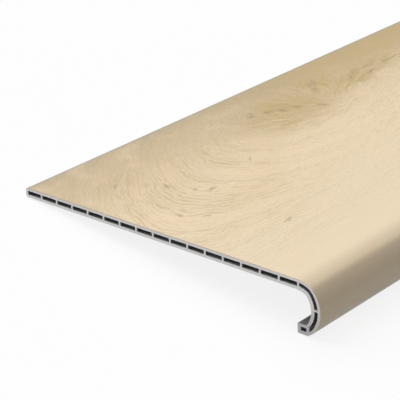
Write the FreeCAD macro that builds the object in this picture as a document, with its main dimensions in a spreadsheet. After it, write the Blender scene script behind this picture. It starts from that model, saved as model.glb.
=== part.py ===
import FreeCAD, Part
import os
from math import acos, asin, atan2, cos, degrees, floor, pi, radians, sin, tan
from types import SimpleNamespace
import Sketcher

# Hollow stair tread cover: an extruded board whose nose curls down to a small box foot,
# with a printed film over its top and nose. Lengths are in millimetres, angles in degrees.
# In each body the back edge is at Y = 0, the nose points to -Y and the flat underside is at Z = 0.
SIZES = {
    # whole tread
    "tread_length": 1000.0,
    "tread_depth": 300.0,
    "board_thickness": 8.0,
    "film_thickness": 0.4,
    "edge_radius": 2.5,
    # walls and ribs of the flat board
    "top_wall": 2.2,
    "bottom_wall": 2.5,
    "back_wall": 2.7,
    "rib_pitch": 17.5,
    "rib_thickness": 1.8,
    "rib_past_turn": 3.5,
    "corner_radius": 0.4,
    # nose: its arcs are measured on the board's outer face, the bend on the inner one
    "shoulder_radius": 31.6,
    "shoulder_angle": 25.0,
    "bend_radius": 1.2,
    "knuckle_angle": 27.0,
    "front_radius": 25.6,
    "sole_angle": 56.0,
    "inner_ease": 1.0,
    "nose_wall": 1.9,
    "nose_gap": 2.8,
    "nose_rib": 1.7,
    "nose_rib_rise": 1.0,
    # box foot at the nose's lower end
    "foot_width": 9.25,
    "foot_height": 8.1,
    "foot_radius": 0.8,
    "foot_back_wall": 3.0,
    "foot_top_wall": 2.3,
    "foot_bottom_wall": 2.8,
    "foot_cell_width": 5.0,
    "foot_web": 2.7,
    # printed film
    "film_setback": 2.5,
    "film_stop_angle": 7.0,
}


class Size:
    """A number together with the sheet expression that it comes from."""

    def __init__(self, value, text=None):
        self.value = float(value)
        self.text = text or str(value)

    def __add__(self, other):
        return combine(self, "+", other, self.value + float(other))

    def __sub__(self, other):
        return combine(self, "-", other, self.value - float(other))

    def __mul__(self, other):
        return combine(self, "*", other, self.value * float(other))

    def __truediv__(self, other):
        return combine(self, "/", other, self.value / float(other))

    def __neg__(self):
        return combine(Size(0), "-", self, -self.value)

    def __float__(self):
        return self.value


def combine(first, sign, second, value):
    text = second.text if isinstance(second, Size) else str(second)
    return Size(value, f"({first.text} {sign} {text})")


def sine(angle):
    return Size(sin(radians(float(angle))), f"sin({angle.text} * 1 deg)")


def cosine(angle):
    return Size(cos(radians(float(angle))), f"cos({angle.text} * 1 deg)")


def whole(number):
    return Size(floor(float(number)), f"floor({number.text})")


def write_sheet(doc):
    """Put every driving size in the sheet, and return them by name."""
    sheet = doc.addObject("Spreadsheet::Sheet", "sizes")
    for row, (name, number) in enumerate(SIZES.items(), start=1):
        sheet.set(f"A{row}", name)
        sheet.set(f"B{row}", str(number))
        sheet.setAlias(f"B{row}", name)
    doc.recompute()
    return SimpleNamespace(**{name: Size(number, f"sizes.{name}") for name, number in SIZES.items()})


class Nose:
    """Places of the nose and its foot, as (y, z) points and heights, worked out from the sizes."""

    def __init__(self, s):
        turned = s.shoulder_angle + s.knuckle_angle
        self.radii = (s.shoulder_radius, s.bend_radius + s.board_thickness, s.front_radius)
        shoulder_step = self.radii[0] - self.radii[1]
        front_step = self.radii[2] - self.radii[1]

        # each arc is tangent to the one before, so its centre lies on their common radius
        front_y = -s.tread_depth + s.film_thickness + s.front_radius
        knuckle_y = front_y - front_step * sine(turned)
        shoulder_y = knuckle_y + shoulder_step * sine(s.shoulder_angle)
        shoulder_z = s.board_thickness - s.shoulder_radius
        knuckle_z = shoulder_z + shoulder_step * cosine(s.shoulder_angle)
        front_z = knuckle_z - front_step * cosine(turned)
        self.centres = ((shoulder_y, shoulder_z), (knuckle_y, knuckle_z), (front_y, front_z))

        # the inner front arc is a little larger than a parallel one, so that wall thins towards the foot
        self.inner_radius = s.front_radius - s.board_thickness + s.inner_ease
        inner_step = self.inner_radius - s.bend_radius
        self.inner_centre = (knuckle_y + inner_step * sine(turned), knuckle_z - inner_step * cosine(turned))

        # directions from the centres, in degrees: straight up, at the bend, and at the knuckle's end
        self.up = 90.0
        self.bend = 90.0 + float(s.shoulder_angle)
        self.turned = 90.0 + float(turned)
        self.front_sweep = -turned + s.sole_angle + 90.0

        sole_y = front_y - s.front_radius * cosine(s.sole_angle)
        sole_z = front_z - s.front_radius * sine(s.sole_angle)
        self.sole = (sole_y, sole_z)
        self.heel = self.sole[0] + s.foot_width
        self.ledge = self.sole[1] + s.foot_height
        self.web_face = self.heel - s.foot_back_wall - s.foot_cell_width - s.foot_web
        self.rib = front_z + s.nose_rib_rise
        self.last_flat_rib = shoulder_y - s.rib_past_turn

    def inset(self, depth):
        """Radii of the three arcs at a depth below the outer face."""
        return tuple(size - depth for size in self.radii)


class Line:
    """A straight piece of a loop, walked from one point to another."""

    enter, leave = 1, 2

    def __init__(self, start, end, joint):
        self.start, self.end, self.joint = start, end, joint

    def curve(self):
        return Part.LineSegment(self.start, self.end)

    def heading_in(self):
        return (self.end - self.start).normalize()

    def heading_out(self):
        return self.heading_in()

    def trim_start(self, length):
        self.start = self.start + self.heading_in() * length

    def trim_end(self, length):
        self.end = self.end - self.heading_out() * length


class Arc:
    """A round piece of a loop, walked from one direction to another, both in radians."""

    def __init__(self, centre, size, first, last, joint):
        self.centre, self.size, self.first, self.last, self.joint = centre, size, first, last, joint
        self.sign = 1 if last > first else -1
        self.enter, self.leave = (1, 2) if last > first else (2, 1)

    @property
    def end(self):
        return self.centre + FreeCAD.Vector(cos(self.last), sin(self.last), 0) * self.size

    def curve(self):
        circle = Part.Circle(self.centre, FreeCAD.Vector(0, 0, 1), self.size)
        return Part.ArcOfCircle(circle, min(self.first, self.last), max(self.first, self.last))

    def heading_in(self):
        return FreeCAD.Vector(-sin(self.first), cos(self.first), 0) * self.sign

    def heading_out(self):
        return FreeCAD.Vector(-sin(self.last), cos(self.last), 0) * self.sign

    def trim_start(self, length):
        self.first += self.sign * length / self.size

    def trim_end(self, length):
        self.last -= self.sign * length / self.size


class Loop:
    """A closed chain of lines and arcs, drawn in an empty sketch in the order it is walked.

    Each piece says how it meets the next one: "sharp", "smooth", or rounded to a Size.
    A piece's number in the loop is also its number in the sketch.
    """

    def __init__(self, sketch):
        self.sketch = sketch
        self.pieces = []

    def line(self, start, end, joint="sharp"):
        self.pieces.append(Line(spot(start), spot(end), joint))
        return len(self.pieces) - 1

    def arc(self, centre, size, start, end, joint="sharp"):
        """An arc between two directions in degrees, walked clockwise where end is the smaller."""
        self.pieces.append(Arc(spot(centre), float(size), radians(start), radians(end), joint))
        return len(self.pieces) - 1

    def close(self):
        """Draw the pieces, join each to the next and round the corners between them."""
        pairs = list(enumerate(zip(self.pieces, self.pieces[1:] + self.pieces[:1])))
        corners = {here: fill_corner(*pair) for here, pair in pairs if isinstance(pair[0].joint, Size)}
        for piece in self.pieces:
            self.sketch.addGeometry(piece.curve(), False)
        for here, (piece, after) in pairs:
            near_end = (here, piece.leave)
            far_end = ((here + 1) % len(pairs), after.enter)
            if here in corners:
                number = self.sketch.addGeometry(corners[here].curve(), False)
                relate(self.sketch, "Tangent", *near_end, number, corners[here].enter)
                relate(self.sketch, "Tangent", number, corners[here].leave, *far_end)
                dimension(self.sketch, "Radius", piece.joint, number)
            elif piece.joint == "smooth":
                relate(self.sketch, "Tangent", *near_end, *far_end)
            else:
                relate(self.sketch, "Coincident", *near_end, *far_end)


def fill_corner(before, after):
    """Shorten two pieces where they meet, and return the arc that rounds their corner."""
    size = float(before.joint)
    back, ahead = before.heading_out() * -1, after.heading_in()
    half = back.getAngle(ahead) / 2
    centre = before.end + (back + ahead).normalize() * (size / sin(half))
    before.trim_end(size / tan(half))
    after.trim_start(size / tan(half))
    arm = before.end - centre
    start = atan2(arm.y, arm.x)
    turn = pi - 2 * half
    clockwise = back.cross(ahead).z > 0
    return Arc(centre, size, start, start - turn if clockwise else start + turn, "smooth")


def spot(point):
    return FreeCAD.Vector(float(point[0]), float(point[1]), 0)


def spot_on(centre, size, direction):
    """The point of an arc that lies in a given direction from its centre."""
    angle = radians(direction)
    return (float(centre[0]) + float(size) * cos(angle), float(centre[1]) + float(size) * sin(angle))


def relate(sketch, kind, *places):
    sketch.addConstraint(Sketcher.Constraint(kind, *places))


def dimension(sketch, kind, size, *places):
    """Add a dimension that follows the sheet."""
    angle = kind == "Angle"
    value = radians(float(size)) if angle else float(size)
    number = sketch.addConstraint(Sketcher.Constraint(kind, *places, value))
    sketch.setExpression(f"Constraints[{number}]", f"{size.text} * 1 deg" if angle else size.text)


def place(sketch, kind, size, piece, point):
    """Dimension a point from the sketch's origin; point 1 is a piece's start and 3 its centre."""
    dimension(sketch, kind, size, -1, 1, piece, point)


def place_arcs(sketch, nose, arcs):
    """Place the centres of the nose's arcs across the tread; their tangency gives the heights."""
    for arc, centre in zip(arcs, nose.centres):
        place(sketch, "DistanceX", centre[0], arc, 3)


def new_sketch(body, name):
    """An empty sketch on the body's YZ plane, with Y across it and Z up."""
    sketch = body.newObject("Sketcher::SketchObject", name)
    plane = next(item for item in body.Origin.OriginFeatures if item.Role == "YZ_Plane")
    sketch.AttachmentSupport = (plane, [""])
    sketch.MapMode = "FlatFace"
    return sketch


def draw_contour(sketch, s, nose):
    """The board's outline, from its back edge over the nose and foot and back underneath."""
    foot, thick = s.foot_radius, s.board_thickness
    shoulder_at, knuckle_at, front_at = nose.centres
    sole_y, sole_z = nose.sole
    sole_turn = 180.0 + float(s.sole_angle)
    ledge_turn = 180.0 - degrees(asin(float(nose.ledge - nose.inner_centre[1]) / float(nose.inner_radius)))

    loop = Loop(sketch)
    top = loop.line((0, thick), (shoulder_at[0], thick), joint="smooth")
    shoulder = loop.arc(shoulder_at, nose.radii[0], nose.up, nose.bend, joint="smooth")
    knuckle = loop.arc(knuckle_at, nose.radii[1], nose.bend, nose.turned, joint="smooth")
    front = loop.arc(front_at, nose.radii[2], nose.turned, sole_turn, joint=foot)
    sole = loop.line((sole_y, sole_z), (nose.heel, sole_z), joint=foot)
    heel = loop.line((nose.heel, sole_z), (nose.heel, nose.ledge), joint=foot)
    ledge_end = spot_on(nose.inner_centre, nose.inner_radius, ledge_turn)
    ledge = loop.line((nose.heel, nose.ledge), ledge_end, joint=s.corner_radius)
    inner_front = loop.arc(nose.inner_centre, nose.inner_radius, ledge_turn, nose.turned, joint="smooth")
    inner_bend = loop.arc(knuckle_at, s.bend_radius, nose.turned, nose.bend, joint="smooth")
    inner_shoulder = loop.arc(shoulder_at, nose.radii[0] - thick, nose.bend, nose.up, joint="smooth")
    underside = loop.line((shoulder_at[0], 0), (0, 0), joint=s.edge_radius)
    back = loop.line((0, 0), (0, thick), joint=s.edge_radius)
    loop.close()

    for level in (top, sole, ledge, underside):
        relate(sketch, "Horizontal", level)
    for upright in (heel, back):
        relate(sketch, "Vertical", upright)
    relate(sketch, "PointOnObject", underside, 1, -1)
    relate(sketch, "PointOnObject", back, 1, -2)
    relate(sketch, "Coincident", inner_shoulder, 3, shoulder, 3)
    relate(sketch, "Coincident", inner_bend, 3, knuckle, 3)
    dimension(sketch, "Radius", nose.radii[0], shoulder)
    dimension(sketch, "Radius", s.bend_radius, inner_bend)
    dimension(sketch, "Angle", s.knuckle_angle, inner_bend)
    dimension(sketch, "Radius", nose.radii[2], front)
    dimension(sketch, "Radius", nose.inner_radius, inner_front)
    place_arcs(sketch, nose, (shoulder, knuckle, front))
    place(sketch, "DistanceY", thick, top, 1)
    place(sketch, "DistanceY", sole_z, sole, 1)
    place(sketch, "DistanceX", nose.heel, heel, 1)
    place(sketch, "DistanceY", nose.ledge, ledge, 1)


def draw_film(sketch, s, nose):
    """The film's section: level over the top, then round the nose at an even thickness."""
    low, high = s.board_thickness, s.board_thickness + s.film_thickness
    back = -s.film_setback
    reach = nose.front_sweep - s.film_stop_angle
    stop = nose.turned + float(reach)
    shoulder_at, knuckle_at, front_at = nose.centres
    over = nose.inset(-s.film_thickness)

    loop = Loop(sketch)
    top = loop.line((back, high), (shoulder_at[0], high), joint="smooth")
    outer_shoulder = loop.arc(shoulder_at, over[0], nose.up, nose.bend, joint="smooth")
    outer_knuckle = loop.arc(knuckle_at, over[1], nose.bend, nose.turned, joint="smooth")
    outer_front = loop.arc(front_at, over[2], nose.turned, stop)
    loop.line(spot_on(front_at, over[2], stop), spot_on(front_at, nose.radii[2], stop))
    front = loop.arc(front_at, nose.radii[2], stop, nose.turned, joint="smooth")
    knuckle = loop.arc(knuckle_at, nose.radii[1], nose.turned, nose.bend, joint="smooth")
    shoulder = loop.arc(shoulder_at, nose.radii[0], nose.bend, nose.up, joint="smooth")
    bottom = loop.line((shoulder_at[0], low), (back, low))
    rear = loop.line((back, low), (back, high))
    loop.close()

    relate(sketch, "Horizontal", top)
    relate(sketch, "Horizontal", bottom)
    relate(sketch, "Vertical", rear)
    relate(sketch, "Coincident", outer_shoulder, 3, shoulder, 3)
    relate(sketch, "Coincident", outer_knuckle, 3, knuckle, 3)
    relate(sketch, "Coincident", outer_front, 3, front, 3)
    for size, arc in zip(nose.radii, (shoulder, knuckle, front)):
        dimension(sketch, "Radius", size, arc)
    dimension(sketch, "Angle", reach, front)
    dimension(sketch, "Angle", reach, outer_front)
    place_arcs(sketch, nose, (shoulder, knuckle, front))
    place(sketch, "DistanceY", low, bottom, 1)
    place(sketch, "DistanceY", high, top, 1)
    place(sketch, "DistanceX", back, rear, 1)


def draw_cell(sketch, s, left, right, bottom, top):
    """A cell with four straight walls and rounded corners; left lies nearer the nose."""
    loop = Loop(sketch)
    floor_line = loop.line((left, bottom), (right, bottom), joint=s.corner_radius)
    back_line = loop.line((right, bottom), (right, top), joint=s.corner_radius)
    roof_line = loop.line((right, top), (left, top), joint=s.corner_radius)
    front_line = loop.line((left, top), (left, bottom), joint=s.corner_radius)
    loop.close()

    for level in (floor_line, roof_line):
        relate(sketch, "Horizontal", level)
    for upright in (back_line, front_line):
        relate(sketch, "Vertical", upright)
    place(sketch, "DistanceY", bottom, floor_line, 1)
    place(sketch, "DistanceX", right, back_line, 1)
    place(sketch, "DistanceY", top, roof_line, 1)
    place(sketch, "DistanceX", left, front_line, 1)


def draw_shoulder_cell(sketch, s, nose):
    """The bent cell between the last flat rib and the nose rib."""
    rib_face = nose.last_flat_rib - s.rib_thickness / 2
    rib_top = nose.rib + s.nose_rib / 2
    corner = s.corner_radius
    over, under = nose.inset(s.nose_wall), nose.inset(s.nose_wall + s.nose_gap)
    shoulder_at, knuckle_at, front_at = nose.centres
    wall_reach, rib_rise = rib_face - shoulder_at[0], rib_top - front_at[1]
    begin = [degrees(acos(float(wall_reach / sizes[0]))) for sizes in (over, under)]
    finish = [180.0 - degrees(asin(float(rib_rise / sizes[2]))) for sizes in (over, under)]
    wall_ends = [spot_on(shoulder_at, sizes[0], turn) for sizes, turn in zip((over, under), begin)]
    rib_ends = [spot_on(front_at, sizes[2], turn) for sizes, turn in zip((over, under), finish)]

    loop = Loop(sketch)
    shoulder = loop.arc(shoulder_at, over[0], begin[0], nose.bend, joint="smooth")
    knuckle = loop.arc(knuckle_at, over[1], nose.bend, nose.turned, joint="smooth")
    front = loop.arc(front_at, over[2], nose.turned, finish[0], joint=corner)
    rib = loop.line(rib_ends[0], rib_ends[1], joint=corner)
    under_front = loop.arc(front_at, under[2], finish[1], nose.turned, joint="smooth")
    under_knuckle = loop.arc(knuckle_at, under[1], nose.turned, nose.bend, joint="smooth")
    under_shoulder = loop.arc(shoulder_at, under[0], nose.bend, begin[1], joint=corner)
    wall = loop.line(wall_ends[1], wall_ends[0], joint=corner)
    loop.close()

    relate(sketch, "Horizontal", rib)
    relate(sketch, "Vertical", wall)
    relate(sketch, "Coincident", under_shoulder, 3, shoulder, 3)
    relate(sketch, "Coincident", under_knuckle, 3, knuckle, 3)
    relate(sketch, "Coincident", under_front, 3, front, 3)
    for size, arc in zip(over, (shoulder, knuckle, front)):
        dimension(sketch, "Radius", size, arc)
    dimension(sketch, "Radius", under[0], under_shoulder)
    place_arcs(sketch, nose, (shoulder, knuckle, front))
    place(sketch, "DistanceY", shoulder_at[1], shoulder, 3)
    place(sketch, "DistanceY", rib_top, rib, 1)
    place(sketch, "DistanceX", rib_face, wall, 1)


def draw_front_cell(sketch, s, nose):
    """The curved cell below the nose rib, cut off by the foot's web."""
    rib_bottom = nose.rib - s.nose_rib / 2
    corner = s.corner_radius
    centre = nose.centres[2]
    over = s.front_radius - s.nose_wall
    under = over - s.nose_gap
    rib_rise, web_reach = rib_bottom - centre[1], nose.web_face - centre[0]
    begin = [180.0 - degrees(asin(float(rib_rise / size))) for size in (over, under)]
    finish = [360.0 - degrees(acos(float(web_reach / size))) for size in (over, under)]

    loop = Loop(sketch)
    front = loop.arc(centre, over, begin[0], finish[0], joint=corner)
    web = loop.line(spot_on(centre, over, finish[0]), spot_on(centre, under, finish[1]), joint=corner)
    back = loop.arc(centre, under, finish[1], begin[1], joint=corner)
    rib = loop.line(spot_on(centre, under, begin[1]), spot_on(centre, over, begin[0]), joint=corner)
    loop.close()

    relate(sketch, "Vertical", web)
    relate(sketch, "Horizontal", rib)
    relate(sketch, "Coincident", back, 3, front, 3)
    dimension(sketch, "Radius", over, front)
    dimension(sketch, "Radius", under, back)
    place(sketch, "DistanceX", centre[0], front, 3)
    place(sketch, "DistanceY", centre[1], front, 3)
    place(sketch, "DistanceX", nose.web_face, web, 1)
    place(sketch, "DistanceY", rib_bottom, rib, 1)


def extrude(body, sketch, name, s):
    """Pad a sketch to the tread's length, half to each side."""
    pad = body.newObject("PartDesign::Pad", name)
    pad.Profile = sketch
    pad.SideType = "Symmetric"
    pad.setExpression("Length", s.tread_length.text)


def cut_through(body, sketch, name):
    """Cut a sketch through the whole length of the body."""
    cut = body.newObject("PartDesign::Pocket", name)
    cut.Profile = sketch
    cut.Type = "ThroughAll"
    cut.SideType = "Symmetric"
    return cut


def cut_flat_cells(doc, body, s, nose):
    """A row of equal cells back from the nose; the cell behind the back edge takes what is left."""
    bottom, top = s.bottom_wall, s.board_thickness - s.top_wall
    half_rib = s.rib_thickness / 2
    room = -nose.last_flat_rib - s.back_wall - half_rib - s.rib_pitch / 2
    count = whole(room / s.rib_pitch)

    flat_cell = new_sketch(body, "flat_cell")
    left = nose.last_flat_rib + half_rib
    draw_cell(flat_cell, s, left, left + s.rib_pitch - s.rib_thickness, bottom, top)
    first_cut = cut_through(body, flat_cell, "flat_cell_cut")
    doc.recompute()
    row = body.newObject("PartDesign::LinearPattern", "flat_cell_row")
    row.Originals = [first_cut]
    row.Direction = (flat_cell, ["H_Axis"])
    row.Mode = "Spacing"
    row.setExpression("Offset", s.rib_pitch.text)
    row.setExpression("Occurrences", count.text)
    body.Tip = row
    doc.recompute()

    back_cell = new_sketch(body, "back_cell")
    draw_cell(back_cell, s, nose.last_flat_rib + count * s.rib_pitch + half_rib, -s.back_wall, bottom, top)
    cut_through(body, back_cell, "back_cell_cut")


def lay_down(body, s, nose):
    """Set the body on its back edge and heel, with the middle of its underside at the origin."""
    rise = -nose.sole[1] - s.foot_radius + s.edge_radius
    run = -nose.heel + s.foot_radius - s.edge_radius
    span = f"sqrt({(rise * rise + run * run).text})"
    tilt = f"(atan({(rise / run).text}) - asin({(s.edge_radius - s.foot_radius).text} / {span}))"
    middle = (s.tread_depth / 2).text
    shift = f"vector(0; {middle} * cos({tilt}); 0 - {middle} * sin({tilt}))"
    body.setExpression("Placement", f"placement({shift}; rotation(vector(-1; 0; 0); {tilt}))")


def build_profile(doc, s, nose):
    """The extruded board: one contour, with its cells cut through from end to end."""
    body = doc.addObject("PartDesign::Body", "hollow_profile")
    body.Label = "hollow_profile"
    contour = new_sketch(body, "contour")
    draw_contour(contour, s, nose)
    extrude(body, contour, "board", s)
    cut_flat_cells(doc, body, s, nose)

    shoulder_cell = new_sketch(body, "shoulder_cell")
    draw_shoulder_cell(shoulder_cell, s, nose)
    cut_through(body, shoulder_cell, "shoulder_cell_cut")

    front_cell = new_sketch(body, "front_cell")
    draw_front_cell(front_cell, s, nose)
    cut_through(body, front_cell, "front_cell_cut")

    foot_cell = new_sketch(body, "foot_cell")
    right = nose.heel - s.foot_back_wall
    bottom, top = nose.sole[1] + s.foot_bottom_wall, nose.ledge - s.foot_top_wall
    draw_cell(foot_cell, s, right - s.foot_cell_width, right, bottom, top)
    cut_through(body, foot_cell, "foot_cell_cut")
    return body


def build_film(doc, s, nose):
    """The printed film, bonded to the board from near its back edge to under the nose."""
    body = doc.addObject("PartDesign::Body", "decor_film")
    body.Label = "decor_film"
    section = new_sketch(body, "film_section")
    draw_film(section, s, nose)
    extrude(body, section, "film", s)
    return body


def check(doc, bodies):
    """Stop if anything failed to build, before any file is written."""
    for item in doc.Objects:
        if "Invalid" in item.State or "Error" in item.State:
            raise RuntimeError(f"{item.Name} failed: {item.State}")
    for body in bodies:
        if body.Shape.isNull() or not body.Shape.isValid():
            raise RuntimeError(f"{body.Label} has no valid shape")


def main():
    doc = FreeCAD.newDocument("stair_tread")
    s = write_sheet(doc)
    nose = Nose(s)
    bodies = [build_profile(doc, s, nose), build_film(doc, s, nose)]
    for body in bodies:
        lay_down(body, s, nose)
    doc.recompute()
    check(doc, bodies)
    os.makedirs("parts", exist_ok=True)
    for body in bodies:
        body.Shape.exportStep(f"parts/{body.Label}.step")


main()
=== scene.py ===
from cmath import exp, phase
from math import acos, asin, atan, cos, degrees, hypot, pi, radians, sin, tan

import bmesh
import bpy
from mathutils import Matrix, Vector
from mathutils.geometry import tessellate_polygon


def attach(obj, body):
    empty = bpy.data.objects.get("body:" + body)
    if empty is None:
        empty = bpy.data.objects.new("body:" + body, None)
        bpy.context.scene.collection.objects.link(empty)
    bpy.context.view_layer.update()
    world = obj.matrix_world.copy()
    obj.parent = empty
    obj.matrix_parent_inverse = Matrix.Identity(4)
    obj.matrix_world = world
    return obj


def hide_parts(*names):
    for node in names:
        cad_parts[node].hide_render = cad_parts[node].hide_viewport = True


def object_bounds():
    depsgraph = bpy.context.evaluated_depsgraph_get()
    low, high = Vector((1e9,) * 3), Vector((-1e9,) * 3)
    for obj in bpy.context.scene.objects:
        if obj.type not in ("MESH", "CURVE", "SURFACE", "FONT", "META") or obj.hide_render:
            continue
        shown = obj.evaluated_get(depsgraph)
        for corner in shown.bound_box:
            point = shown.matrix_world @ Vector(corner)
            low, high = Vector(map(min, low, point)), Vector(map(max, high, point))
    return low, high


# Hollow stair tread cover: a grey extruded board with a curled nose and a box foot, under a
# printed wood film. Section sizes are in millimetres and angles in degrees, as in the part.
MM = 0.001
DEPTH = 300.0
BOARD = 8.0
FILM = 0.4
EDGE_RADIUS = 2.5
TOP_WALL = 2.2
BOTTOM_WALL = 2.5
BACK_WALL = 2.7
RIB_PITCH = 17.5
RIB = 1.8
RIB_PAST_TURN = 3.5
CORNER = 0.4
SHOULDER_RADIUS = 31.6
SHOULDER_ANGLE = 25.0
BEND_RADIUS = 1.2
KNUCKLE_ANGLE = 27.0
FRONT_RADIUS = 25.6
SOLE_ANGLE = 56.0
INNER_EASE = 1.0
NOSE_WALL = 1.9
NOSE_GAP = 2.8
NOSE_RIB = 1.7
NOSE_RIB_RISE = 1.0
FOOT_WIDTH = 9.25
FOOT_HEIGHT = 8.1
FOOT_RADIUS = 0.8
FOOT_BACK_WALL = 3.0
FOOT_TOP_WALL = 2.3
FOOT_BOTTOM_WALL = 2.8
FOOT_CELL_WIDTH = 5.0
FOOT_WEB = 2.7
FILM_SETBACK = 2.5
FILM_STOP_ANGLE = 7.0

# meshes, in millimetres and degrees; the built meshes join their points at a distance in metres
ARC_SAG = 0.008
ARC_STEPS_LEAST = 3
POINT_GAP = 1e-4
FILM_FLAT_STEPS = 60
FILM_DIVISIONS = 40
SAWN_EDGE = 0.12
SHARP_ANGLE = 30.0
JOIN_DISTANCE = 1e-6

# camera: the photo's side and focus in pixels, the sensor in millimetres, the view's angles in
# degrees, and where the tread's near top back corner lies in the camera's axes, in millimetres
PHOTO_SIDE = 400
PHOTO_FOCUS = 1634.5
SENSOR = 36.0
CAMERA_AZIMUTH = -46.633
CAMERA_ELEVATION = 23.842
CAMERA_ROLL = -3.4796
CORNER_FROM_CAMERA = Vector((-140.456, 10.442, -1314.906))

# light: the strength of the surroundings, then each lamp's strength, width in degrees, and the
# direction in which it lies from the tread, in the section's frame
AMBIENT = 0.18
LAMPS = (
    ("key", 2.86, 76, (0.0, 0.586, 0.81)),
    ("nose_fill", 0.36, 10, (0.0, -0.316, 0.949)),
    ("end_fill", 1.68, 1, (-1.0, 0.0, 0.02)),
)

# floor: half its side and the size of its mottle in metres, its two paints and what the camera
# sees, as shares of white, and its glow in plain light and to the camera
FLOOR_HALF = 30.0
FLOOR_MOTTLE = 0.02
FLOOR_PAINTS = (0.40, 0.42)
FLOOR_SEEN = 0.98
FLOOR_GLOW = 0.22
FLOOR_SEEN_GLOW = 0.85

# the print, in millimetres from its near back corner: the rings round the knot and the far ones,
# each with their heart, ratio of width to length and turn in degrees; the near ones also bend and
# sag towards the nose, and the two sets join smoothly
RING_HEART = (352, -29)
RING_RATIO = 0.31
RING_TURN = 11
RING_BEND = 0.0004
RING_SINK = 34
RING_SMOOTHING = 60
FAR_HEART = (800, -165)
FAR_RATIO = 0.16
FAR_TURN = 4
FAR_ADDED = (700, 200)

# stretches of the print along and across it, each from where it starts to where it is full
SAG_ALONG = (30, 270)
SAG_ACROSS = (-50, -180)
FAR_ALONG = (250, 520)
SHORT_FROM = (80, 170)
SHORT_UNTIL = (720, 580)
SPECKLED_ALONG = (130, 230)
SPECKLED_ACROSS = (-110, -50)
TOP_FLAT = (-275, -225)
WORN_BACK = (-6.5, -3.5)
NOSE_END = (-314, -334)
NOSE_RIM = (-275, -290)
RIM_DEPTH = (-0.02, -0.06)

# how the print's places stray: the size of the noise and its reach
DRIFT = (80, 3)
RIPPLE = (14, 2.4)
ROUGHEN = (5, 1.6)
SPREAD = (26, 6)

# sizes of the print's plain noises
CLOUD_SIZE = 60
BLUSH_SIZE = 34
PORE_SIZE = 2.2

# fibres, by their width across the rings and their length; the waves' distances and their sway in
# radians; how close the rings lie on their sides; and the share of the lines in the tone
LONG_FIBRES = (4.2, 22)
SHORT_FIBRES = (5.6, 9)
TURN_FIBRES = (2.7, 13)
BROAD_FIBRES = (22, 110)
TINT_FIBRES = (26, 150)
SIDE_WAVE = 9.5
TURN_WAVE = 5.6
WAVE_SWAY = 7
SIDE_STEEPNESS = (1.2, 2.4)
LINES_SHARE = 0.37

# soft ovals: centre, half sizes, turn in degrees, and the share that is full where one is given
FIGURE = ((75, -105), (200, 165), 15)
FIGURE_TAIL = ((270, -110), (200, 110), 0)
FAR_FIGURE = ((790, -160), (320, 190), 4, 0.2)
WARM_BAND = ((135, -135), (150, 36), 36)
STAINS = (
    ((256, -68), (84, 48), 10, 0.25),
    ((362, -62), (122, 22), 11, 0.2),
    ((320, -44), (72, 42), 8),
    ((725, -212), (75, 22), 12),
)
BACK_STAIN = ((410, -10), (230, 60), 0, 0.3)
BACK_STAIN_SHARE = 0.66
FAN_HEART = (285, -102)
FAN_STREAKS_PER_RADIAN = 18
FAN_STREAK_LENGTH = 40
KNOT_STREAKS = (
    ((313, -47), (25, 6), 49, 0.3),
    ((223, -49), (11, 6), 45),
    ((237, -56), (8, 7), -8),
    ((250, -63), (8, 8), -22),
    ((263, -69), (8, 7), -25),
    ((279, -84), (12, 4.5), -52),
    ((352, -61), (24, 3.5), 30),
    ((382, -55), (26, 2.5), 3),
    ((372, -67), (30, 2.5), 9),
    ((410, -61), (40, 3), 4),
    ((716, -214), (24, 5), 12, 0.3),
    ((744, -207), (30, 3), 16),
)
FLECKS = (
    ((84, -127), (9, 4), 8),
    ((76, -117), (6, 2), 20),
    ((43, -157), (6, 3), -20),
    ((42, -60), (9, 3), 50),
    ((67, -93), (8, 3), 60),
    ((31, -140), (8, 3), 80),
    ((73, -212), (8, 2.5), 22),
    ((148, -112), (8, 2), 40),
    ((560, -172), (8, 3), 15),
    ((655, -64), (9, 3), 10),
    ((872, -92), (9, 3), -12),
    ((935, -238), (8, 3), 5),
)
FLECKS_SHARE = 0.6

# the plastic's noises, by their cells to the metre along each axis, and its mottle's size in
# millimetres; both materials' relief, by its strength and its height in metres
DRAWN_CELLS = (4, 1400, 1400)
SAWN_CELLS = (0, 500, 3500)
MOTTLE_SIZE = 9
MOTTLE_SHARE = 0.2
PLASTIC_RELIEF = (0.15, 0.0001)
FILM_RELIEF = (0.09, 0.0002)

# the print's ground: the stretch from the back edge over which each paint takes over; darker
# towards the back edge, partly the print's tone and partly painted shade
GROUND = (((0, 22), "tan"), ((15, 80), "wheat"), ((60, 130), "cream"), ((105, 235), "pale"))
GROUND_WANDER = 50

# paints, as red, green and blue from 0 to 255
PAINTS = {
    # the ground's paints from the back edge towards the nose: partly the print's tone, partly
    # painted shade darkening the top towards the back edge
    "back": (171, 153, 121),
    "tan": (186, 164, 126),
    "wheat": (209, 187, 148),
    "cream": (228, 207, 170),
    "pale": (230, 210, 178),
    "streak": (205, 184, 140),
    "cool": (216, 203, 170),
    "gold": (222, 194, 150),
    "band": (222, 195, 146),
    "blush": (232, 204, 172),
    "speckle": (166, 142, 106),
    "stain": (180, 154, 97),
    "line": (180, 147, 98),
    "knot": (148, 123, 78),
    "fleck": (152, 124, 82),
    "worn_back": (160, 152, 136),
    "nose_end": (182, 174, 160),
    "flat_rim": (164, 140, 112),
    "nose_rim": (186, 179, 168),
    # the drawn sides, darker than the sawn ends partly as the sawn face's whiter tone and partly as
    # painted shade for the cells and the ledge
    "side_dark": (132, 133, 133),
    "side_light": (146, 146, 146),
    # painted shade for the drawn sides below the board's underside, towards the foot
    "side_painted_shade": (106, 106, 105),
    "sawn_dark": (180, 179, 178),
    "sawn_light": (204, 201, 199),
    # painted shade for the sawn ends towards the foot
    "sawn_painted_shade": (140, 140, 139),
    "mottle": (150, 150, 148),
}

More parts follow.
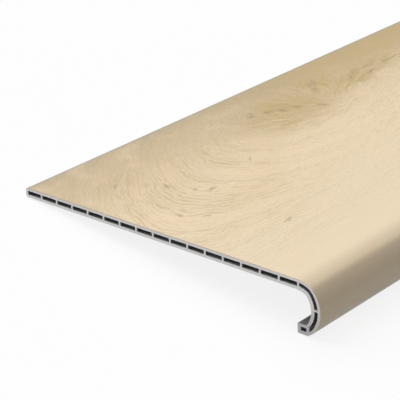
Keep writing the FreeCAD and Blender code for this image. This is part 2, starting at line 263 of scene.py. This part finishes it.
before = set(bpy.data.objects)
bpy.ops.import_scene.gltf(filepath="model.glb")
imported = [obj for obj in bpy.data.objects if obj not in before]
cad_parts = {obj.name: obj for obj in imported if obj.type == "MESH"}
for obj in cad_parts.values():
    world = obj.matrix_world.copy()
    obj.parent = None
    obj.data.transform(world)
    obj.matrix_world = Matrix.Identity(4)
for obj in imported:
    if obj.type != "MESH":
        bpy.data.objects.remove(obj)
cad_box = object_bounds()
LENGTH = (cad_box[1].x - cad_box[0].x) / MM


class Section:
    """Places in the tread's section, as complex numbers y + z i from its lower back edge."""

    def __init__(self):
        turn = radians(SHOULDER_ANGLE)
        full_turn = radians(SHOULDER_ANGLE + KNUCKLE_ANGLE)
        self.knuckle_radius = BEND_RADIUS + BOARD
        shoulder_step = SHOULDER_RADIUS - self.knuckle_radius
        front_step = FRONT_RADIUS - self.knuckle_radius
        front_y = -DEPTH + FILM + FRONT_RADIUS
        knuckle_y = front_y - front_step * sin(full_turn)
        shoulder_y = knuckle_y + shoulder_step * sin(turn)
        self.shoulder = complex(shoulder_y, BOARD - SHOULDER_RADIUS)
        self.knuckle = complex(knuckle_y, self.shoulder.imag + shoulder_step * cos(turn))
        self.front = complex(front_y, self.knuckle.imag - front_step * cos(full_turn))
        self.inner_radius = FRONT_RADIUS - BOARD + INNER_EASE
        inner_step = self.inner_radius - BEND_RADIUS
        self.inner = self.knuckle + inner_step * complex(sin(full_turn), -cos(full_turn))
        self.bend = 90 + SHOULDER_ANGLE
        self.turned = 90 + SHOULDER_ANGLE + KNUCKLE_ANGLE
        self.sole = self.front + FRONT_RADIUS * toward(180 + SOLE_ANGLE)
        self.heel_y = self.sole.real + FOOT_WIDTH
        self.ledge_z = self.sole.imag + FOOT_HEIGHT
        self.web_y = self.heel_y - FOOT_BACK_WALL - FOOT_CELL_WIDTH - FOOT_WEB
        self.rib_z = self.front.imag + NOSE_RIB_RISE
        self.last_rib_y = shoulder_y - RIB_PAST_TURN

    def tilt(self):
        """The angle at which the tread leans on its back edge and heel, in radians."""
        rise = -self.sole.imag - FOOT_RADIUS + EDGE_RADIUS
        run = -self.heel_y + FOOT_RADIUS - EDGE_RADIUS
        return atan(rise / run) - asin((EDGE_RADIUS - FOOT_RADIUS) / hypot(rise, run))


def toward(angle):
    """The unit number that points at an angle in degrees."""
    return exp(1j * radians(angle))


class Line:
    """A straight piece of an outline, and the radius that rounds the corner after it."""

    def __init__(self, start, end, corner=0.0):
        self.start, self.end, self.corner = start, end, corner

    def heading_in(self):
        return (self.end - self.start) / abs(self.end - self.start)

    def heading_out(self):
        return self.heading_in()

    def trim_start(self, length):
        self.start += length * self.heading_in()

    def trim_end(self, length):
        self.end -= length * self.heading_in()

    def points(self):
        return [self.start, self.end]


class Arc:
    """Part of a circle, walked from one angle to another, in degrees, and the corner after it."""

    def __init__(self, centre, size, first, last, corner=0.0):
        self.centre, self.size, self.corner = centre, size, corner
        self.first, self.last = first, last
        self.sign = 1 if last > first else -1

    @property
    def end(self):
        return self.centre + self.size * toward(self.last)

    def heading_in(self):
        return self.sign * 1j * toward(self.first)

    def heading_out(self):
        return self.sign * 1j * toward(self.last)

    def trim_start(self, length):
        self.first += self.sign * degrees(length / self.size)

    def trim_end(self, length):
        self.last -= self.sign * degrees(length / self.size)

    def points(self):
        step = 2 * degrees(acos(1 - ARC_SAG / self.size))
        steps = max(ARC_STEPS_LEAST, round(abs(self.last - self.first) / step))
        turn = (self.last - self.first) / steps
        return [self.centre + self.size * toward(self.first + turn * n) for n in range(steps + 1)]


def fill_corner(before, after):
    """Shorten two pieces where they meet, and return the arc that rounds their corner."""
    back, ahead = -before.heading_out(), after.heading_in()
    half = abs(phase(ahead / back)) / 2
    middle = (back + ahead) / abs(back + ahead)
    centre = before.end + middle * before.corner / sin(half)
    before.trim_end(before.corner / tan(half))
    after.trim_start(before.corner / tan(half))
    first = degrees(phase(before.end - centre))
    turn = degrees(pi - 2 * half)
    last = first + turn if phase(ahead / back) < 0 else first - turn
    return Arc(centre, before.corner, first, last)


def outline(pieces):
    """The points of a closed chain of lines and arcs, with its corners rounded."""
    rounded = []
    for before, after in zip(pieces, pieces[1:] + pieces[:1]):
        rounded.append(before)
        if before.corner:
            rounded.append(fill_corner(before, after))
    points = [point for piece in rounded for point in piece.points()]
    return [point for n, point in enumerate(points) if abs(point - points[n - 1]) > POINT_GAP]


def board_outline(s):
    """The board's outline, from its back edge over the nose and foot and back underneath."""
    ledge_turn = 180 - degrees(asin((s.ledge_z - s.inner.imag) / s.inner_radius))
    ledge_end = s.inner + s.inner_radius * toward(ledge_turn)
    heel_low, heel_high = complex(s.heel_y, s.sole.imag), complex(s.heel_y, s.ledge_z)
    return outline([
        Line(complex(0, BOARD), complex(s.shoulder.real, BOARD)),
        Arc(s.shoulder, SHOULDER_RADIUS, 90, s.bend),
        Arc(s.knuckle, s.knuckle_radius, s.bend, s.turned),
        Arc(s.front, FRONT_RADIUS, s.turned, 180 + SOLE_ANGLE, FOOT_RADIUS),
        Line(s.sole, heel_low, FOOT_RADIUS),
        Line(heel_low, heel_high, FOOT_RADIUS),
        Line(heel_high, ledge_end, CORNER),
        Arc(s.inner, s.inner_radius, ledge_turn, s.turned),
        Arc(s.knuckle, BEND_RADIUS, s.turned, s.bend),
        Arc(s.shoulder, SHOULDER_RADIUS - BOARD, s.bend, 90),
        Line(complex(s.shoulder.real, 0), 0j, EDGE_RADIUS),
        Line(0j, complex(0, BOARD), EDGE_RADIUS),
    ])


def box_cell(left, right, bottom, top):
    """The outline of a cell with four straight walls; left lies nearer the nose."""
    lower = [complex(left, bottom), complex(right, bottom)]
    upper = [complex(right, top), complex(left, top)]
    starts = lower + upper
    ends = starts[1:] + starts[:1]
    return outline([Line(start, end, CORNER) for start, end in zip(starts, ends)])


def flat_cells(s):
    """The row of equal cells back from the nose, and the one that takes what is left."""
    bottom, top = BOTTOM_WALL, BOARD - TOP_WALL
    room = -s.last_rib_y - BACK_WALL - RIB / 2 - RIB_PITCH / 2
    count = int(room // RIB_PITCH)
    fronts = [s.last_rib_y + RIB / 2 + n * RIB_PITCH for n in range(count + 1)]
    backs = [front + RIB_PITCH - RIB for front in fronts[:-1]] + [-BACK_WALL]
    return [box_cell(front, back, bottom, top) for front, back in zip(fronts, backs)]


def shoulder_cell(s):
    """The bent cell between the last flat rib and the nose rib."""
    over, under = depths = NOSE_WALL, NOSE_WALL + NOSE_GAP
    reach = s.last_rib_y - RIB / 2 - s.shoulder.real
    rise = s.rib_z + NOSE_RIB / 2 - s.front.imag
    begin = [90 - degrees(asin(reach / (SHOULDER_RADIUS - depth))) for depth in depths]
    finish = [180 - degrees(asin(rise / (FRONT_RADIUS - depth))) for depth in depths]
    walls = [s.shoulder + (SHOULDER_RADIUS - depth) * toward(turn)
             for depth, turn in zip(depths, begin)]
    ribs = [s.front + (FRONT_RADIUS - depth) * toward(turn) for depth, turn in zip(depths, finish)]
    return outline([
        Arc(s.shoulder, SHOULDER_RADIUS - over, begin[0], s.bend),
        Arc(s.knuckle, s.knuckle_radius - over, s.bend, s.turned),
        Arc(s.front, FRONT_RADIUS - over, s.turned, finish[0], CORNER),
        Line(ribs[0], ribs[1], CORNER),
        Arc(s.front, FRONT_RADIUS - under, finish[1], s.turned),
        Arc(s.knuckle, s.knuckle_radius - under, s.turned, s.bend),
        Arc(s.shoulder, SHOULDER_RADIUS - under, s.bend, begin[1], CORNER),
        Line(walls[1], walls[0], CORNER),
    ])


def front_cell(s):
    """The curved cell below the nose rib, cut off by the foot's web."""
    over, under = FRONT_RADIUS - NOSE_WALL, FRONT_RADIUS - NOSE_WALL - NOSE_GAP
    rise = s.rib_z - NOSE_RIB / 2 - s.front.imag
    reach = s.front.real - s.web_y
    begin = [180 - degrees(asin(rise / size)) for size in (over, under)]
    finish = [270 - degrees(asin(reach / size)) for size in (over, under)]
    return outline([
        Arc(s.front, over, begin[0], finish[0], CORNER),
        Line(s.front + over * toward(finish[0]), s.front + under * toward(finish[1]), CORNER),
        Arc(s.front, under, finish[1], begin[1], CORNER),
        Line(s.front + under * toward(begin[1]), s.front + over * toward(begin[0]), CORNER),
    ])


def foot_cell(s):
    """The small cell in the box foot."""
    right = s.heel_y - FOOT_BACK_WALL
    bottom, top = s.sole.imag + FOOT_BOTTOM_WALL, s.ledge_z - FOOT_TOP_WALL
    return box_cell(right - FOOT_CELL_WIDTH, right, bottom, top)


def film_side(s, depth):
    """One side of the film, from its back to its end under the nose, at a depth below its face."""
    lift = FILM - depth
    stop = 180 + SOLE_ANGLE - FILM_STOP_ANGLE
    back = -FILM_SETBACK
    run = s.shoulder.real - back
    flat = [complex(back + run * n / FILM_FLAT_STEPS, BOARD + lift) for n in range(FILM_FLAT_STEPS)]
    arcs = [
        Arc(s.shoulder, SHOULDER_RADIUS + lift, 90, s.bend),
        Arc(s.knuckle, s.knuckle_radius + lift, s.bend, s.turned),
        Arc(s.front, FRONT_RADIUS + lift, s.turned, stop),
    ]
    return flat + [point for arc in arcs[:2] for point in arc.points()[:-1]] + arcs[2].points()


def running_length(points):
    """The distance along a chain of points from its first one, at each point."""
    lengths = [0.0]
    for before, after in zip(points, points[1:]):
        lengths.append(lengths[-1] + abs(after - before))
    return lengths


def in_frame(tilt):
    """The matrix from the section's frame, in millimetres from its near end, to the model's."""
    centred = Matrix.Translation((-LENGTH / 2, DEPTH / 2, 0))
    return Matrix.Scale(MM, 4) @ Matrix.Rotation(-tilt, 4, "X") @ centred


def extrude_outlines(name, loops, placed):
    """The mesh of a flat filled outline with holes, drawn out over the tread's length."""
    curve = bpy.data.curves.new(name, "CURVE")
    curve.dimensions = "2D"
    curve.fill_mode = "BOTH"
    curve.extrude = LENGTH / 2 - SAWN_EDGE
    curve.bevel_depth = SAWN_EDGE
    curve.bevel_resolution = 0
    curve.offset = -SAWN_EDGE
    for loop in loops:
        spline = curve.splines.new("POLY")
        spline.points.add(len(loop) - 1)
        spline.use_cyclic_u = True
        for point, place in zip(spline.points, loop):
            point.co = (place.real, place.imag, 0, 1)
    drawn = bpy.data.objects.new(name, curve)
    mesh = bpy.data.meshes.new_from_object(drawn)
    bpy.data.objects.remove(drawn)
    lengthwise = Matrix(((0, 0, 1, LENGTH / 2), (1, 0, 0, 0), (0, 1, 0, 0), (0, 0, 0, 1)))
    mesh.transform(placed @ lengthwise)
    return mesh


def draw_strip(name, loop, divisions, placed):
    """The closed mesh of one outline drawn out over the tread's length in several steps."""
    size = len(loop)
    along = [LENGTH * n / divisions for n in range(divisions + 1)]
    spots = [Vector((x, point.real, point.imag)) for x in along for point in loop]
    cap = tessellate_polygon([[Vector((point.real, point.imag, 0)) for point in loop]])
    far = size * divisions
    faces = [tuple(corners) for corners in cap]
    faces += [tuple(far + corner for corner in reversed(corners)) for corners in cap]
    for start in range(0, far, size):
        for here in range(size):
            there = (here + 1) % size
            faces.append((start + here, start + there, start + size + there, start + size + here))
    mesh = bpy.data.meshes.new(name)
    mesh.from_pydata([placed @ spot for spot in spots], [], faces)
    return mesh


def add_piece(name, mesh, material, node):
    """Show a mesh in place of a CAD node, smooth over its curves and with its faces outwards."""
    shape = bmesh.new()
    shape.from_mesh(mesh)
    bmesh.ops.remove_doubles(shape, verts=shape.verts, dist=JOIN_DISTANCE)
    bmesh.ops.recalc_face_normals(shape, faces=shape.faces)
    for face in shape.faces:
        face.smooth = True
    shape.to_mesh(mesh)
    shape.free()
    mesh.set_sharp_from_angle(angle=radians(SHARP_ANGLE))
    mesh.materials.append(material)
    piece = bpy.data.objects.new(name, mesh)
    bpy.context.scene.collection.objects.link(piece)
    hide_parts(node)
    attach(piece, "root")


def build_board(s, placed):
    """The extruded board with all its cells."""
    loops = [board_outline(s), *flat_cells(s), shoulder_cell(s), front_cell(s), foot_cell(s)]
    mesh = extrude_outlines("board_profile", loops, placed)
    add_piece("board_profile", mesh, plastic_material(placed), "hollow_profile")


def build_film(s, placed):
    """The printed film; each of its points knows its place in the flat print, in millimetres."""
    face, bond = film_side(s, 0), film_side(s, FILM)
    loop = face + bond[::-1]
    mesh = draw_strip("wood_film", loop, FILM_DIVISIONS, placed)
    run = running_length(face)
    across = [-FILM_SETBACK - length for length in run + run[::-1]]
    depth = [0.0] * len(face) + [-FILM] * len(bond)
    along = [LENGTH * n / FILM_DIVISIONS for n in range(FILM_DIVISIONS + 1)]
    print_place = mesh.attributes.new("print_place", "FLOAT_VECTOR", "POINT")
    spots = [(x, y, z) for x in along for y, z in zip(across, depth)]
    print_place.data.foreach_set("vector", [number for spot in spots for number in spot])
    add_piece("wood_film", mesh, decor_material(), "decor_film")


class Graph:
    """Short calls that add nodes to a material or world, and link or set their inputs."""

    def __init__(self, owner):
        self.owner = owner
        owner.use_nodes = True
        self.tree = owner.node_tree
        self.tree.nodes.clear()

    def add(self, kind, inputs=(), **settings):
        node = self.tree.nodes.new(kind)
        for name, value in settings.items():
            setattr(node, name, value)
        for name, value in dict(inputs).items():
            self.feed(node.inputs[name], value)
        return node

    def feed(self, socket, value):
        if isinstance(value, bpy.types.NodeSocket):
            self.tree.links.new(value, socket)
        elif value is not None:
            socket.default_value = value

    def math(self, operation, first, second=None, third=None):
        inputs = {0: first, 1: second, 2: third}
        return self.add("ShaderNodeMath", inputs, operation=operation).outputs[0]

    def times(self, first, second):
        return self.math("MULTIPLY", first, second)

    def larger(self, first, second):
        return self.math("MAXIMUM", first, second)

    def vector(self, operation, first, second=None):
        node = self.add("ShaderNodeVectorMath", {0: first, 1: second}, operation=operation)
        return node.outputs["Value" if operation == "LENGTH" else "Vector"]

    def combine(self, x=0.0, y=0.0, z=0.0):
        return self.add("ShaderNodeCombineXYZ", {"X": x, "Y": y, "Z": z}).outputs[0]

    def split(self, vector):
        return self.add("ShaderNodeSeparateXYZ", {0: vector}).outputs

    def noise(self, place, size, detail=2.0, roughness=0.5, colour=False):
        """Noise whose features are about one size across, in the place's own unit."""
        inputs = {"Vector": place, "Scale": 1 / size, "Detail": detail, "Roughness": roughness}
        return self.add("ShaderNodeTexNoise", inputs).outputs["Color" if colour else "Fac"]

    def ramp(self, value, low, high, start=0.0, end=1.0, smooth=True):
        """A value from start to end as another goes from low to high."""
        inputs = {"Value": value, "From Min": low, "From Max": high, "To Min": start, "To Max": end}
        kind = "SMOOTHSTEP" if smooth else "LINEAR"
        return self.add("ShaderNodeMapRange", inputs, interpolation_type=kind).outputs["Result"]

    def blend(self, share, first, second):
        """A colour between two others."""
        inputs = {"Factor": share, "A": first, "B": second}
        return self.add("ShaderNodeMix", inputs, data_type="RGBA").outputs["Result"]

    def mix(self, share, first, second):
        """A plain number between two others."""
        inputs = {"Factor": share, "A": first, "B": second}
        return self.add("ShaderNodeMix", inputs).outputs["Result"]

    def bump(self, height, strength, distance):
        inputs = {"Height": height, "Strength": strength, "Distance": distance}
        return self.add("ShaderNodeBump", inputs).outputs[0]

    def within(self, place, centre, size, turn=0.0):
        """The place in a frame of its own: its centre, half sizes and turn in degrees."""
        inputs = {
            "Vector": place,
            "Location": (*centre, 0),
            "Rotation": (0, 0, radians(turn)),
            "Scale": (*size, 1),
        }
        return self.add("ShaderNodeMapping", inputs, vector_type="TEXTURE").outputs[0]

    def spot(self, place, centre, size, turn=0.0, core=0.0):
        """A soft oval spot: 1 within the given share of its size, and 0 at its rim."""
        flat = self.vector("MULTIPLY", self.within(place, centre, size, turn), (1, 1, 0))
        return self.ramp(self.vector("LENGTH", flat), 1.0, core)

    def spots(self, place, ovals):
        """Several soft ovals as one mask; each is given as for one spot."""
        mask = 0.0
        for oval in ovals:
            mask = self.larger(mask, self.spot(place, *oval))
        return mask

    def wander(self, place, size, reach):
        """The place moved about in its plane by smooth noise."""
        sway = self.vector("SUBTRACT", self.noise(place, size, colour=True), (0.5, 0.5, 0.5))
        return self.vector("ADD", place, self.vector("MULTIPLY", sway, (4 * reach, 4 * reach, 0)))

    def seen(self):
        """1 where the camera looks, also in a mirror or through glass, and 0 for plain light."""
        path = self.add("ShaderNodeLightPath").outputs
        mirrored = self.larger(path["Is Glossy Ray"], path["Is Transmission Ray"])
        return self.larger(path["Is Camera Ray"], mirrored)

    def finish(self, colour, roughness, normal):
        """Close a material's graph with one surface shader, and return the material."""
        inputs = {"Base Color": colour, "Roughness": roughness, "Normal": normal}
        shader = self.add("ShaderNodeBsdfPrincipled", inputs)
        self.add("ShaderNodeOutputMaterial", {"Surface": shader.outputs[0]})
        return self.owner


def paint(name):
    """A named paint as the render's linear colour."""
    def linear(value):
        share = value / 255
        return share / 12.92 if share <= 0.04045 else ((share + 0.055) / 1.055) ** 2.4
    red, green, blue = PAINTS[name]
    return (linear(red), linear(green), linear(blue), 1.0)


def grey(share):
    """A grey by its share of white."""
    return (share, share, share, 1.0)


def ring_field(g, place):
    """Growth rings as a distance in millimetres, and how many times closer than that they lie."""
    # the rings sag towards the nose
    along, across, _ = g.split(place)
    sink = g.times(g.ramp(along, *SAG_ALONG, 0, RING_SINK), g.ramp(across, *SAG_ACROSS))
    place = g.vector("ADD", place, g.combine(y=sink))

    # they bend on the near side of their heart, and run on straight past it
    x, y, _ = g.split(g.within(place, RING_HEART, (1, 1), RING_TURN))
    left = g.math("SMOOTH_MIN", x, 0, RING_SMOOTHING)
    bend = g.times(g.times(left, left), RING_BEND)
    heart = g.combine(left, g.math("DIVIDE", g.math("ADD", y, bend), RING_RATIO), 0)
    ring = g.vector("LENGTH", heart)
    steep = g.vector("LENGTH", g.vector("MULTIPLY", heart, (1, 1 / RING_RATIO, 0)))
    steep = g.math("DIVIDE", steep, g.larger(ring, 1))

    # the far rings, held back near the knot
    far = g.vector("LENGTH", g.within(place, FAR_HEART, (1 / FAR_RATIO, 1), FAR_TURN))
    far = g.math("ADD", far, g.ramp(along, *FAR_ALONG, *FAR_ADDED, smooth=False))
    return g.math("SMOOTH_MIN", ring, far, RING_SMOOTHING), steep


def grain(g, place, ring, fibres, detail=2, roughness=0.6):
    """Noise drawn out along the rings: streaks of a given width and length."""
    width, length = fibres
    x, y, _ = g.split(g.vector("DIVIDE", place, (length, length, 1)))
    return g.noise(g.combine(g.math("DIVIDE", ring, width), x, y), 1, detail, roughness)


def ring_wave(g, ring, period, fibres):
    """Even waves across the rings, swayed by the fibres."""
    angle = g.math("ADD", g.times(ring, 2 * pi / period), g.times(fibres, WAVE_SWAY))
    return g.math("SINE", angle)


def fan_grain(g, place):
    """Noise drawn out into streaks that spread from one point."""
    x, y, _ = g.split(g.within(place, FAN_HEART, (1, 1), 90))
    reach = g.math("DIVIDE", g.vector("LENGTH", g.combine(x, y, 0)), FAN_STREAK_LENGTH)
    turn = g.times(g.math("ARCTAN2", y, x), FAN_STREAKS_PER_RADIAN)
    return g.noise(g.combine(turn, reach, 0), 1, 3, 0.6)


def ring_lines(g, place, along, ring, steep):
    """Fibres along the rings' sides and round their turns, and the lines that they draw."""
    # short fibres beside the knot, long ones before and past it
    beside = g.times(g.ramp(along, *SHORT_FROM), g.ramp(along, *SHORT_UNTIL))
    long_side = grain(g, place, ring, LONG_FIBRES)
    side = g.mix(beside, long_side, grain(g, place, ring, SHORT_FIBRES))
    turn = grain(g, place, ring, TURN_FIBRES)
    on_side = g.ramp(steep, *SIDE_STEEPNESS)
    fibres = g.mix(on_side, turn, side)
    turn_wave = ring_wave(g, ring, TURN_WAVE, turn)
    wave = g.mix(on_side, turn_wave, ring_wave(g, ring, SIDE_WAVE, side))
    wave = g.times(wave, g.ramp(beside, 0, 1, 0.13, 0.06))
    return fibres, g.ramp(g.math("ADD", fibres, wave), 0.44, 0.68)


def ground_tone(g, across, cloud):
    """The print's ground: tan along the back edge, cream towards the nose, partly the print's tone
    and partly painted shade.
    """
    shift = g.times(g.math("SUBTRACT", cloud, 0.5), GROUND_WANDER)
    from_back = g.math("SUBTRACT", shift, across)
    tone = paint("back")
    for (first, last), name in GROUND:
        tone = g.blend(g.ramp(from_back, first, last, smooth=False), tone, paint(name))
    return tone


def decor_material():
    """Pale maple print: growth rings round a knot, fibres, stains, flecks and a satin face."""
    g = Graph(bpy.data.materials.new("wood_decor"))
    place = g.add("ShaderNodeAttribute", attribute_name="print_place").outputs["Vector"]
    along, across, depth = g.split(place)
    flat = g.ramp(across, *TOP_FLAT)

    # the print's lines wander a little
    drift = g.wander(place, *DRIFT)
    moved = g.wander(drift, *RIPPLE)
    rough = g.wander(place, *ROUGHEN)
    ring, steep = ring_field(g, moved)
    fibres, lines = ring_lines(g, moved, along, ring, steep)
    broad = grain(g, moved, ring, BROAD_FIBRES, 2, 0.5)

    # lines are strong in the oval figures, weak elsewhere and round the nose
    figure = g.larger(g.spot(drift, *FIGURE), g.times(g.spot(drift, *FIGURE_TAIL), 0.4))
    figure = g.larger(figure, g.times(g.spot(drift, *FAR_FIGURE), 0.5))
    strength = g.times(g.ramp(figure, 0, 0.8, 0.23, 1), g.ramp(flat, 0, 1, 0.3, 1))
    lines = g.times(g.times(lines, g.ramp(broad, 0.36, 0.62, 0.4, 1.15)), strength)

    # ground, with broad streaks and tints along the rings
    cloud = g.noise(drift, CLOUD_SIZE, 3, 0.55)
    tone = ground_tone(g, across, cloud)
    streaks = g.times(g.ramp(broad, 0.42, 0.62, 0, 0.25), strength)
    tone = g.blend(streaks, tone, paint("streak"))
    tint = grain(g, moved, ring, TINT_FIBRES, 1, 0.5)
    cool = g.times(g.ramp(tint, 0.5, 0.62, 0, 0.14), strength)
    tone = g.blend(cool, tone, paint("cool"))
    gold = g.times(g.ramp(tint, 0.46, 0.36, 0, 0.14), strength)
    tone = g.blend(gold, tone, paint("gold"))
    band = g.times(g.spot(drift, *WARM_BAND), g.ramp(cloud, 0.3, 0.6, 0.15, 0.3))
    tone = g.blend(band, tone, paint("band"))
    blush = g.ramp(g.noise(drift, BLUSH_SIZE), 0.5, 0.7, 0, 0.3)
    tone = g.blend(blush, tone, paint("blush"))

    # speckles, stronger towards the back edge
    pores = g.noise(place, PORE_SIZE, 2, 0.6)
    extra = g.times(g.ramp(across, *SPECKLED_ACROSS, 0, 0.4), g.ramp(along, *SPECKLED_ALONG))
    speckle = g.times(g.ramp(pores, 0.42, 0.7, 0, g.math("ADD", extra, 0.16)), flat)
    tone = g.blend(speckle, tone, paint("speckle"))

    # olive stain round the knot, its streaks fanned out from one point, then lines and dark marks
    spread = g.wander(rough, *SPREAD)
    fan = fan_grain(g, spread)
    stain = g.times(g.spots(spread, STAINS), g.ramp(fan, 0.36, 0.62, 0.36, 1))
    stain = g.larger(stain, g.times(g.spot(spread, *BACK_STAIN), BACK_STAIN_SHARE))
    tone = g.blend(stain, tone, paint("stain"))
    tone = g.blend(g.times(lines, LINES_SHARE), tone, paint("line"))
    knot = g.times(g.spots(rough, KNOT_STREAKS), g.ramp(fan, 0.3, 0.6, 0.4, 0.9))
    tone = g.blend(g.times(knot, g.ramp(pores, 0.4, 0.6, 0.45, 1)), tone, paint("knot"))
    tone = g.blend(g.times(g.spots(rough, FLECKS), FLECKS_SHARE), tone, paint("fleck"))

    # worn back edge, greyer end under the nose, and the film's cut rim
    tone = g.blend(g.ramp(across, *WORN_BACK, 0, 0.75), tone, paint("worn_back"))
    tone = g.blend(g.ramp(across, *NOSE_END, 0, 0.55), tone, paint("nose_end"))
    rim = g.blend(g.ramp(across, *NOSE_RIM), paint("flat_rim"), paint("nose_rim"))
    tone = g.blend(g.ramp(depth, *RIM_DEPTH), tone, rim)
    roughness = g.ramp(fibres, 0.2, 0.8, 0.42, 0.55)
    return g.finish(tone, roughness, g.bump(fibres, *FILM_RELIEF))


def plastic_material(placed):
    """Light grey rigid plastic: lines drawn along its length, and sawn ends, with painted shade
    that darkens it towards the foot.
    """
    g = Graph(bpy.data.materials.new("grey_profile"))
    place = g.add("ShaderNodeTexCoord").outputs["Object"]
    normal = g.add("ShaderNodeNewGeometry").outputs["Normal"]
    end = g.ramp(g.math("ABSOLUTE", g.split(normal)[0]), 0.6, 0.9)

    # drawn lines, the saw's level marks, and an even mottle
    drawn = g.noise(g.vector("MULTIPLY", place, DRAWN_CELLS), 1, 3, 0.6)
    sawn = g.noise(g.vector("MULTIPLY", place, SAWN_CELLS), 1, 3, 0.6)
    mottle = g.noise(g.vector("MULTIPLY", place, (1 / MM, 1 / MM, 1 / MM)), MOTTLE_SIZE, 3, 0.6)

    # height above the board's underside, in millimetres
    upright = placed.to_3x3().normalized() @ Vector((0, 0, 1 / MM))
    x, y, z = g.split(g.vector("MULTIPLY", place, tuple(upright)))
    height = g.math("ADD", g.math("ADD", x, y), z)

    # the drawn sides are darker than the sawn ends, partly the sawn face's whiter tone and partly
    # painted shade for the cells and the ledge
    side_tone = g.blend(drawn, paint("side_dark"), paint("side_light"))
    # painted shade: the drawn sides darken below the board's underside towards the foot, so the
    # cells, the ledge and the nose hook look shaded
    side_tone = g.blend(g.ramp(height, 0, -20, 0, 0.5), side_tone, paint("side_painted_shade"))
    end_tone = g.blend(sawn, paint("sawn_dark"), paint("sawn_light"))
    # painted shade: the sawn ends darken towards the foot
    end_tone = g.blend(g.ramp(height, 0, -34, 0, 0.75), end_tone, paint("sawn_painted_shade"))
    tone = g.blend(end, side_tone, end_tone)
    tone = g.blend(g.times(mottle, MOTTLE_SHARE), tone, paint("mottle"))
    relief = g.blend(end, drawn, sawn)
    roughness = g.ramp(end, 0, 1, 0.42, 0.7)
    return g.finish(tone, roughness, g.bump(relief, *PLASTIC_RELIEF))


def build_floor():
    """A pale floor, near white to the camera and in reflections, that takes the tread's shadow."""
    g = Graph(bpy.data.materials.new("pale_floor"))
    seen = g.seen()
    place = g.add("ShaderNodeTexCoord").outputs["Object"]
    plain = g.blend(g.noise(place, FLOOR_MOTTLE), *(grey(share) for share in FLOOR_PAINTS))
    colour = g.blend(seen, plain, grey(FLOOR_SEEN))
    lit = g.add("ShaderNodeBsdfDiffuse", {"Color": colour}).outputs[0]
    white = g.add("ShaderNodeEmission", {"Color": grey(1.0), "Strength": 1.0}).outputs[0]
    glow = g.ramp(seen, 0, 1, FLOOR_GLOW, FLOOR_SEEN_GLOW)
    mixed = g.add("ShaderNodeMixShader", {0: glow, 1: lit, 2: white}).outputs[0]
    g.add("ShaderNodeOutputMaterial", {"Surface": mixed})
    corners = [(x * FLOOR_HALF, y * FLOOR_HALF, cad_box[0].z)
               for x, y in ((-1, -1), (1, -1), (1, 1), (-1, 1))]
    mesh = bpy.data.meshes.new("floor")
    mesh.from_pydata(corners, [], [(0, 1, 2, 3)])
    mesh.materials.append(g.owner)
    floor = bpy.data.objects.new("floor", mesh)
    bpy.context.scene.collection.objects.link(floor)


def light_scene(placed):
    """Even surroundings, white to the camera, a broad key lamp over the back edge and two fills."""
    scene = bpy.context.scene
    scene.view_settings.view_transform = "Standard"
    scene.world = bpy.data.worlds.new("studio")
    g = Graph(scene.world)
    brightness = g.ramp(g.seen(), 0, 1, AMBIENT, 1)
    sky = g.add("ShaderNodeBackground", {"Strength": brightness}).outputs[0]
    g.add("ShaderNodeOutputWorld", {"Surface": sky})
    for name, strength, softness, direction in LAMPS:
        light = bpy.data.lights.new(name, "SUN")
        light.energy = strength
        light.angle = radians(softness)
        lamp = bpy.data.objects.new(name, light)
        lamp.rotation_mode = "QUATERNION"
        lamp.rotation_quaternion = (placed.to_3x3() @ Vector(direction)).to_track_quat("Z", "Y")
        scene.collection.objects.link(lamp)


def place_camera(placed):
    """The photograph's view, given in the section's frame and turned into the model's."""
    angles = (CAMERA_AZIMUTH, CAMERA_ELEVATION, CAMERA_ROLL)
    azimuth, elevation, roll = (radians(angle) for angle in angles)
    back = Vector((sin(azimuth) * cos(elevation), -cos(azimuth) * cos(elevation), sin(elevation)))
    level = Vector((cos(azimuth), sin(azimuth), 0))
    upright = back.cross(level)
    right = cos(roll) * level + sin(roll) * upright
    up = cos(roll) * upright - sin(roll) * level
    axes = Matrix((right, up, back)).transposed()
    top = Vector((0, 0, BOARD + FILM))
    spot = placed @ (top - axes @ CORNER_FROM_CAMERA)
    turned = placed.to_3x3().normalized() @ axes
    data = bpy.data.cameras.new("camera")
    data.sensor_width = SENSOR
    data.lens = SENSOR * PHOTO_FOCUS / PHOTO_SIDE
    camera = bpy.data.objects.new("camera", data)
    camera.matrix_world = Matrix.Translation(spot) @ turned.to_4x4()
    bpy.context.scene.collection.objects.link(camera)
    bpy.context.scene.camera = camera


def build_scene():
    """Both pieces, the floor, the light and the camera."""
    section = Section()
    placed = in_frame(section.tilt())
    build_board(section, placed)
    build_film(section, placed)
    build_floor()
    light_scene(placed)
    place_camera(placed)


build_scene()
bpy.context.view_layer.update()
